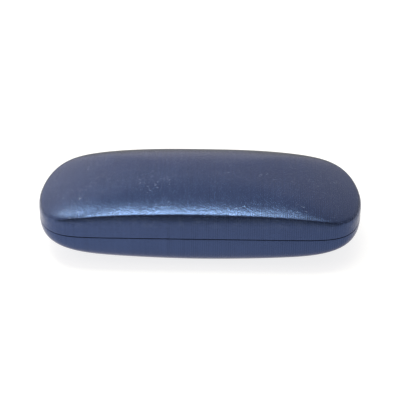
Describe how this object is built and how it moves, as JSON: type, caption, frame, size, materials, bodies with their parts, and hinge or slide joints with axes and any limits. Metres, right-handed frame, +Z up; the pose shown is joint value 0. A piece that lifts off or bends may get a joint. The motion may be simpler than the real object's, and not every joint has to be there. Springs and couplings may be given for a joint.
{
  "type": "eyeglasses case",
  "caption": "Hard clamshell eyeglasses case: domed leatherette-covered steel lid and base, rear snap hinge and flocked lining.",
  "frame": {"origin": "centre of the flat under the base that the closed case rests on", "axes": "+X along the case, -Y to the front where the lid opens, +Z up"},
  "size_m": [0.1598, 0.0613, 0.037],
  "materials": {
    "leatherette": "pearlised navy blue leatherette with fine brushed lines",
    "shell_steel": "plain pressed sheet",
    "foam": "closed-cell foam sheet",
    "liner_plastic": "thin vacuum-formed sheet",
    "flock": "short velvet flock",
    "gusset_fabric": "soft woven strip",
    "hinge_steel": "zinc plated",
    "spring_steel": "blued spring steel",
    "rivet_brass": "plain"
  },
  "bodies": {
    "base": {"base_cover": "leatherette", "base_shell": "shell_steel", "base_pad": "foam", "base_liner": "liner_plastic", "base_lining": "flock", "base_hinge_leaf": "hinge_steel", "base_hinge_rivets": "rivet_brass", "snap_spring_left": "spring_steel", "snap_spring_right": "spring_steel", "snap_spring_rivets": "rivet_brass", "hinge_pin": "hinge_steel", "spine_strip": "leatherette", "hinge_gusset": "gusset_fabric"},
    "lid": {"lid_cover": "leatherette", "lid_shell": "shell_steel", "lid_pad": "foam", "lid_liner": "liner_plastic", "lid_lining": "flock", "lid_hinge_leaf": "hinge_steel", "lid_hinge_rivets": "rivet_brass"}
  },
  "joints": [
    {"name": "lid_hinge", "type": "hinge", "parent": "base", "child": "lid", "pos_m": [0, 0.02784, 0.0174], "axis": [-1, 0, 0], "range_deg": [0, 105], "deforming": ["snap_spring_left", "snap_spring_right", "spine_strip", "hinge_gusset"]}
  ]
}
